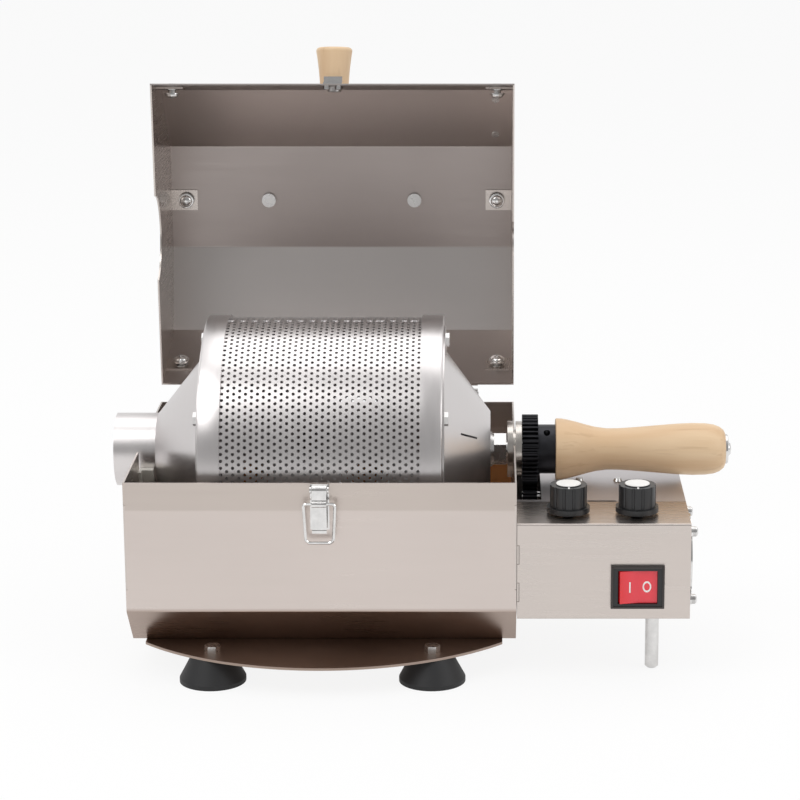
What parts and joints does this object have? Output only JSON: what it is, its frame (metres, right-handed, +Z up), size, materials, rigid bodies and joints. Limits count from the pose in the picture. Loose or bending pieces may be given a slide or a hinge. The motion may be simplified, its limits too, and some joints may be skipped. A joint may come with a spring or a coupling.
{
  "type": "home coffee bean roaster",
  "caption": "Benchtop drum roaster: perforated drum with open neck and wood handle lies in a folded steel housing with hinged lid, latch and geared control box on rubber feet",
  "frame": {"origin": "bottom centre of the bounding box at rest, on the surface that the feet stand on", "axes": "+X to the handle's end, +Y from the front panel to the lid's hinge, +Z up"},
  "size_m": [0.3722, 0.3035, 0.3459],
  "materials": {
    "steel": "brushed stainless sheet",
    "drum": "smooth stainless sheet",
    "bright": "bright plated steel",
    "zinc": "zinc-plated",
    "rubber": "matt black",
    "heater": "heat-darkened steel sheath",
    "ceramic": "unglazed ceramic",
    "copper": "heat-tinted copper sheet",
    "saddle": "heat-proof low-friction lining",
    "motor": "bare cast housing",
    "black": "satin black",
    "board": "lacquered circuit board",
    "wood": "clear-oiled light wood",
    "gear": "blackened steel",
    "bronze": "oiled sintered bronze",
    "red": "lit translucent red"
  },
  "bodies": {
    "housing": {"base_plate": "steel", "rubber_feet": "rubber", "foot_bolts": "zinc", "housing_shell": "steel", "housing_end_left": "steel", "housing_end_right": "steel", "latch_plate": "bright", "hinge_leaves_lower": "bright", "heater_rods": "heater", "heater_holders": "ceramic", "heat_reflector": "copper", "neck_saddle": "saddle", "control_box": "steel", "box_cover": "steel", "box_side_left": "steel", "box_side_right": "steel", "box_screws": "zinc", "support_leg": "bright", "gear_motor": "motor", "motor_bracket": "steel", "potentiometers": "black", "switch_body": "black", "power_inlet": "black", "fan_frame": "black", "fan_guard": "bright", "fan_screws": "zinc", "control_board": "board"},
    "lid": {"lid_cover": "steel", "lid_end_left": "steel", "lid_end_right": "steel", "lid_bolts": "zinc", "lid_knob": "wood", "knob_screw": "zinc", "latch_keeper": "bright", "lid_screws": "zinc", "hinge_leaves_upper": "bright"},
    "drum": {"drum_mesh": "drum", "drum_ring_left": "drum", "drum_ring_right": "drum", "cone_left": "drum", "cone_right": "drum", "cone_screws": "zinc", "drum_vanes": "drum", "drum_shaft": "bright", "shaft_nut": "zinc", "shaft_washers": "zinc", "drive_gear": "gear", "gear_hub": "gear", "wood_handle": "wood", "handle_screw": "zinc"},
    "bush": {"bearing_bush": "bronze"},
    "pinion": {"drive_pinion": "gear", "motor_shaft": "bright"},
    "lever": {"latch_lever": "bright"},
    "bail": {"latch_bail": "bright"},
    "dial_left": {"knob_left": "black"},
    "dial_right": {"knob_right": "black"},
    "rocker": {"switch_rocker": "red"},
    "rotor": {"fan_rotor": "black"}
  },
  "joints": [
    {"name": "lid_hinge", "type": "hinge", "parent": "housing", "child": "lid", "pos_m": [-0.058, 0.0739, 0.123], "axis": [1, 0, 0], "range_deg": [0, 86]},
    {"name": "drum_lift", "type": "slide", "parent": "housing", "child": "bush", "axis": [0, 0, -1], "range_m": [-0.12, 0]},
    {"name": "drum_spin", "type": "hinge", "parent": "bush", "child": "drum", "pos_m": [0.04, -0.03, 0.1145], "axis": [1, 0, 0], "continuous": true},
    {"name": "pinion_spin", "type": "hinge", "parent": "housing", "child": "pinion", "pos_m": [0.064, -0.03, 0.0845], "axis": [1, 0, 0], "continuous": true},
    {"name": "latch_lever_turn", "type": "hinge", "parent": "housing", "child": "lever", "pos_m": [-0.058, -0.129, 0.1169], "axis": [1, 0, 0], "range_deg": [-95, 0]},
    {"name": "latch_bail_turn", "type": "hinge", "parent": "lever", "child": "bail", "pos_m": [-0.058, -0.1322, 0.1094], "axis": [-1, 0, 0], "range_deg": [0, 189]},
    {"name": "dial_left_turn", "type": "hinge", "parent": "housing", "child": "dial_left", "pos_m": [0.0853, -0.1033, 0.1], "axis": [0, 0, -1], "range_deg": [0, 300]},
    {"name": "dial_right_turn", "type": "hinge", "parent": "housing", "child": "dial_right", "pos_m": [0.1253, -0.1033, 0.1], "axis": [0, 0, -1], "range_deg": [0, 300]},
    {"name": "switch_rock", "type": "hinge", "parent": "housing", "child": "rocker", "pos_m": [0.125, -0.1225, 0.0578], "axis": [0, 0, -1], "range_deg": [0, 14]},
    {"name": "fan_spin", "type": "hinge", "parent": "housing", "child": "rotor", "pos_m": [0.1473, -0.093, 0.067], "axis": [1, 0, 0], "continuous": true}
  ],
  "couplings": [
    {"joint": "pinion_spin", "follows": "drum_spin", "ratio": -2}
  ]
}
